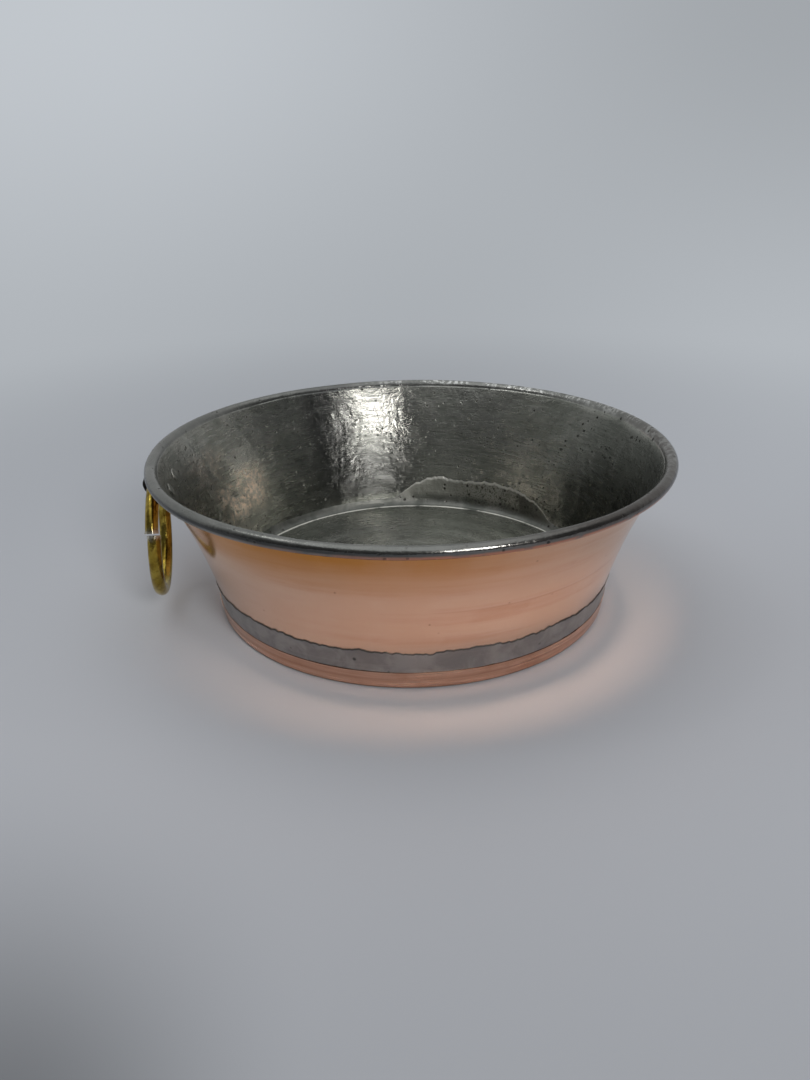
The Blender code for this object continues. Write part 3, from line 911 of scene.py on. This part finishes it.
def make_inner_solder(material):
    """The fillet in the corner of the floor. It is wiped high up the wall on the far side, low elsewhere."""
    gap = 0.00008                       # between the fillet and the sheets
    floor_z = FLOOR_TOP + gap
    corner_z = floor_z + 0.0032         # where the fillet's corner ends and its wiped face begins
    low_top = FLOOR_TOP + 0.0042
    far_side = 0.95                     # radians
    azimuth = np.linspace(0, TURN, FINE, endpoint=False)[:, None]
    torn = torn_edge(51, 0.0014)
    rim = torn_edge(52, 0.00018)
    lumps = waves(53, 30, 50, 700, 0.00006)
    nearness = 0.5 + 0.5 * np.cos(azimuth - far_side)
    high = smooth(nearness, 0.92, 0.98)
    top = low_top + (FILLET_HIGH.z - 0.0016 - low_top) * high + torn(azimuth) * (0.2 + high)
    floor_r = FLOOR_EDGE + rim(azimuth)

    def wall_r(height):
        """The fillet's back, clear of the wall's relief."""
        clearance = SHEET / 2 + gap + 0.00012
        return np.polyval(WALL_CURVE, height) - clearance + wall_wobble(azimuth, 0, height)[0]

    up = np.linspace(0, 1, 16)
    climb = corner_z + (top - corner_z) * up
    feather = 0.00036 * (1 - up) ** 1.2 + (0.00006 + 0.00022 * high) * np.sqrt(1 - up ** 6)
    front_wall_r = wall_r(climb) - feather - lumps(azimuth, climb) * (1 - up ** 4)
    along = np.linspace(0, 1, 8)
    corner_r = np.polyval(WALL_CURVE, floor_z) - SHEET / 2 - 0.0023
    flat_r = floor_r + (corner_r - floor_r) * along
    flat_z = floor_z + 0.00030 * np.sqrt(along) + 0.00040 * along + lumps(azimuth, flat_r) * 0.5 * along
    bend = np.linspace(0, 1, 8)[1:-1]
    start_r, start_z = flat_r[:, -1:], flat_z[:, -1:]
    end_r, end_z = front_wall_r[:, :1], climb[:, :1]
    knee_r, knee_z = end_r - 0.0011, start_z + 0.0005
    bend_r = (1 - bend) ** 2 * start_r + 2 * bend * (1 - bend) * knee_r + bend ** 2 * end_r
    bend_z = (1 - bend) ** 2 * start_z + 2 * bend * (1 - bend) * knee_z + bend ** 2 * end_z
    back_z = climb[:, ::-3]
    back_r = wall_r(back_z)
    under_r = np.concatenate([back_r[:, -1:] - 0.0004, floor_r], 1)
    under_z = np.full_like(under_r, floor_z)
    radius = np.concatenate([flat_r, bend_r, front_wall_r, back_r, under_r], 1)
    z = np.concatenate([flat_z, bend_z, climb, back_z, under_z], 1)
    fillet = turned("inner_solder_fillet", radius, z, material, ["inner_seam_solder"])
    thin = np.zeros_like(z)
    top_column = flat_r.shape[1] + bend_r.shape[1] + climb.shape[1] - 1
    thin[:, top_column - 1:top_column + 1] = smooth(nearness, 0.90, 0.96)
    mark_thin_edge(fillet, thin)


# ---------------------------------------------------------------- lug, rivets and ring

def worked_copy(name, node, voxel, rough, material):
    """A hand-forged copy of a CAD node: its solid remeshed fine, eased, and left a little uneven."""
    source = frame["nodes"][node]
    draft = bpy.data.objects.new("draft", source.data.copy())
    bpy.context.scene.collection.objects.link(draft)
    remesh = draft.modifiers.new("remesh", "REMESH")
    remesh.mode = "VOXEL"
    remesh.voxel_size = voxel
    ease = draft.modifiers.new("ease", "SMOOTH")
    ease.factor = 0.5
    ease.iterations = 3
    evaluated = draft.evaluated_get(bpy.context.evaluated_depsgraph_get())
    mesh = bpy.data.meshes.new_from_object(evaluated)
    bpy.data.objects.remove(draft)
    for vertex in mesh.vertices:
        swell = noise.fractal(vertex.co * 350, 0.8, 2.0, 3)
        vertex.co += vertex.normal * swell * rough
    mesh.name = name
    return dress(name, mesh, material, "bowl", [node])


def ring_numbers():
    """The ring from its CAD mesh: how it leans from the pivot, its radius, its wire's radius, the angle of
    its cut, half the cut's width as an angle, and how far its ends are out of line. They step apart along
    X, so the vertices lowest and highest in X lie one on each end."""
    points = [vertex.co - PIVOT for vertex in frame["nodes"]["ring_handle"].data.vertices]
    hang = sum(points, Vector()) / len(points)
    lean = Matrix.Rotation(math.atan2(-hang.x, -hang.z), 3, "Y")
    points = [lean.inverted() @ point for point in points]
    wire = max(point.z for point in points)
    radius = -min(point.z for point in points) / 2 - wire / 2
    low, high = (pick(points, key=lambda point: point.x) for pick in (min, max))
    low_angle, high_angle = (math.atan2(point.z + radius, point.y) for point in (low, high))
    half = (low_angle - high_angle) / 2
    step = math.copysign((high.x - low.x) / 2 - wire, half)
    return lean, radius, wire, (low_angle + high_angle) / 2, abs(half), step


def make_ring():
    """Brass rod bent to a ring. Its ends were cut and pressed together, and don't quite meet in line."""
    lean, radius, wire, cut, half, step = ring_numbers()
    centre = Vector((0, 0, -radius))
    cut_place = centre + Vector((0, math.cos(cut), math.sin(cut))) * radius
    material = aged_brass(PIVOT + lean @ cut_place)
    steps, around = 360, 40             # along the rod and round it
    swell = waves(62, 12, 5, 1, 0.00004)
    burr = waves(63, 10, 12, 1, 0.00016)
    share = np.linspace(0, 1, steps + 1)
    share = np.concatenate([[0, 0], share, [1, 1]])
    shrink = np.ones(len(share))
    shrink[:2] = (0.55, 0.93)
    shrink[-2:] = (0.93, 0.55)
    angle = cut + half + share * (TURN - 2 * half)
    sidestep = step * (2 * share - 1) ** 5
    turn = np.linspace(0, TURN, around, endpoint=False)
    points = []
    for index in range(len(share)):
        end = min(index, len(share) - 1 - index)
        close = math.exp(-((min(share[index], 1 - share[index]) * TURN * radius) / 0.0008) ** 2)
        local = wire * shrink[index] + swell(angle[index], 3 * turn) + close * burr(turn, index > steps / 2)
        local -= 0.00005 * close
        slide = 0.0 if end > 1 else (0.00006 - 0.00003 * end) * (1 if index < 3 else -1)
        reach = radius + local * np.cos(turn)
        here = angle[index] + slide / radius
        aside = sidestep[index] + local * np.sin(turn)
        section = zip(aside, reach * math.cos(here), reach * math.sin(here))
        points += [tuple(PIVOT + lean @ (centre + Vector(point))) for point in section]
    rows = len(share)
    faces = strip_faces(rows, around, closed=True)[: (rows - 1) * around]
    faces.append(list(range(around)))
    faces.append(list(range((rows - 1) * around, rows * around)))
    piece("brass_ring", points, faces, material, "ring", ["ring_handle"])


# ---------------------------------------------------------------- floor, light and camera

BACKDROP = (0.392, 0.416, 0.443)
FLOOR_COLOUR = (0.60, 0.62, 0.672)


def backdrop_level(tree):
    """How bright the backdrop is over the picture: lighter at the top left, darker at the bottom left."""
    across, up, _ = tree.axes(tree.coordinates("Window"))
    top = tree.ease(across, 0.1, 1.0, 1.36, 0.93)
    bottom = tree.ease(across, 0.0, 0.40, 0.40, 0.84)
    sides = tree.ease(across, 0.5, 1.0, tree.ease(across, 0.0, 0.5, 1.09, 1.0), 1.17)
    middle = tree.ease(up, 0.40, 0.62, tree.ease(across, 0.1, 0.6, 1.06, 0.96), sides)
    upper = tree.ease(up, 0.62, 1.0, middle, top)
    return tree.ease(up, -0.05, 0.32, bottom, upper)


def make_floor():
    """A wide plain floor. Seen from the camera, it fades into the backdrop with distance."""
    half = 6.0
    below_foot = 0.0002
    corners = [(-half, -half, 0), (half, -half, 0), (half, half, 0), (-half, half, 0)]
    mesh = bpy.data.meshes.new("floor")
    mesh.from_pydata(corners, [], [(0, 1, 2, 3)])
    floor = bpy.data.objects.new("floor", mesh)
    floor.location.z = -below_foot
    bpy.context.scene.collection.objects.link(floor)
    material = bpy.data.materials.new("pale_floor")
    material.use_nodes = True
    tree = Nodes(material.node_tree)
    is_camera = tree.camera_ray()
    level = backdrop_level(tree)
    # Seen from the camera, the floor's colour is scaled by backdrop_level: painted light towards the top left
    # and painted shade towards the bottom left.
    colour = tree.tinted(FLOOR_COLOUR, tree.ease(is_camera, 0, 1, 1, level))
    finish = {"Base Color": colour, "Roughness": 0.7, "Specular IOR Level": 0.25}
    matt = tree.add("ShaderNodeBsdfPrincipled", finish)
    glow = tree.add("ShaderNodeEmission", {0: tree.tinted(BACKDROP, level)})
    from_bowl = tree.vector_math("LENGTH", tree.coordinates("Object"))
    fade = tree.ease(from_bowl, 0.22, 0.75, 0.0, is_camera)
    tree.blend(fade, matt, glow, "ShaderNodeOutputMaterial")
    mesh.materials.append(material)


def make_world():
    """Light from all round: bright overhead, fair behind the bowl, dim on the camera's side."""
    world = bpy.data.worlds.new("studio")
    world.use_nodes = True
    tree = Nodes(world.node_tree)
    _, away, up = tree.axes(tree.coordinates("Generated"))
    low_light = tree.ease(away, -0.25, 0.45, 0.085, 0.42)
    light = tree.ease(up, 0.66, 0.88, low_light, 0.72)
    around = tree.add("ShaderNodeBackground", {0: (0.96, 0.99, 1.0), 1: light})
    seen = tree.add("ShaderNodeBackground", {0: tree.tinted(BACKDROP, backdrop_level(tree))})
    tree.blend(tree.camera_ray(), around, seen, "ShaderNodeOutputWorld")
    bpy.context.scene.world = world


LIGHT_DISTANCE = 1.4


def add_light(name, azimuth, elevation, width, radiance, colour):
    """A round soft light aimed at the bowl. Angles are in degrees, and radiance is its surface brightness."""
    data = bpy.data.lights.new(name, "AREA")
    data.shape = "DISK"
    data.size = width
    data.color = colour
    data.energy = radiance * math.pi * math.pi * width ** 2 / 4
    lamp = bpy.data.objects.new(name, data)
    around, up = math.radians(azimuth), math.radians(elevation)
    towards = Vector((math.cos(up) * math.cos(around), math.cos(up) * math.sin(around), math.sin(up)))
    lamp.location = Vector((0, 0, BEAD_Z / 2)) + LIGHT_DISTANCE * towards
    lamp.rotation_euler = towards.to_track_quat("Z", "Y").to_euler()
    bpy.context.scene.collection.objects.link(lamp)


def make_camera():
    """A phone's wide lens a little above the rim, on the side where the ring hangs at the left."""
    camera = bpy.data.cameras.new("camera")
    camera.sensor_width = 36
    camera.lens = 27.13
    camera.clip_start = 0.01
    holder = bpy.data.objects.new("camera", camera)
    holder.location = (-0.06585, -0.35906, 0.18993)
    heading, down, roll = (math.radians(angle) for angle in (-9.9, 24.58, -1.025))
    facing, tipping, rolling = (Euler(angles).to_matrix() for angles in (
        (0, 0, heading), (math.pi / 2 - down, 0, 0), (0, 0, roll)))
    holder.rotation_euler = (facing @ tipping @ rolling).to_euler()
    bpy.context.scene.collection.objects.link(holder)
    bpy.context.scene.camera = holder


# ---------------------------------------------------------------- build

TIN = worn_tin()
make_wall_copper(polished_copper())
make_wall_tin(TIN)
make_pan_copper(foot_copper())
make_pan_tin(TIN)
make_outer_solder(outer_solder())
make_inner_solder(inner_solder())
IRON = dark_iron("forged_iron", light=(0.030, 0.029, 0.028), dark=(0.010, 0.010, 0.010))
worked_copy("forged_lug", "ring_lug", voxel=0.00035, rough=0.00008, material=IRON)
RIVET = tinned_rivet()
for side in ("left", "right"):
    name, node = "rivet_" + side, "lug_rivet_" + side
    worked_copy(name, node, voxel=0.00018, rough=0.00005, material=RIVET)
make_ring()
STEEL = dark_iron("rim_wire_steel", light=(0.28, 0.27, 0.26), dark=(0.12, 0.11, 0.10))
frame["nodes"]["rim_wire"].material_slots[0].material = STEEL

make_floor()
make_world()
add_light("key", azimuth=165, elevation=58, width=0.22, radiance=3.2, colour=(1.0, 0.99, 0.97))
add_light("front", azimuth=-75, elevation=29, width=0.42, radiance=14.0, colour=(1.0, 0.985, 0.965))
make_camera()
bpy.context.scene.view_settings.view_transform = "Standard"
bpy.context.scene.cycles.blur_glossy = 0.1
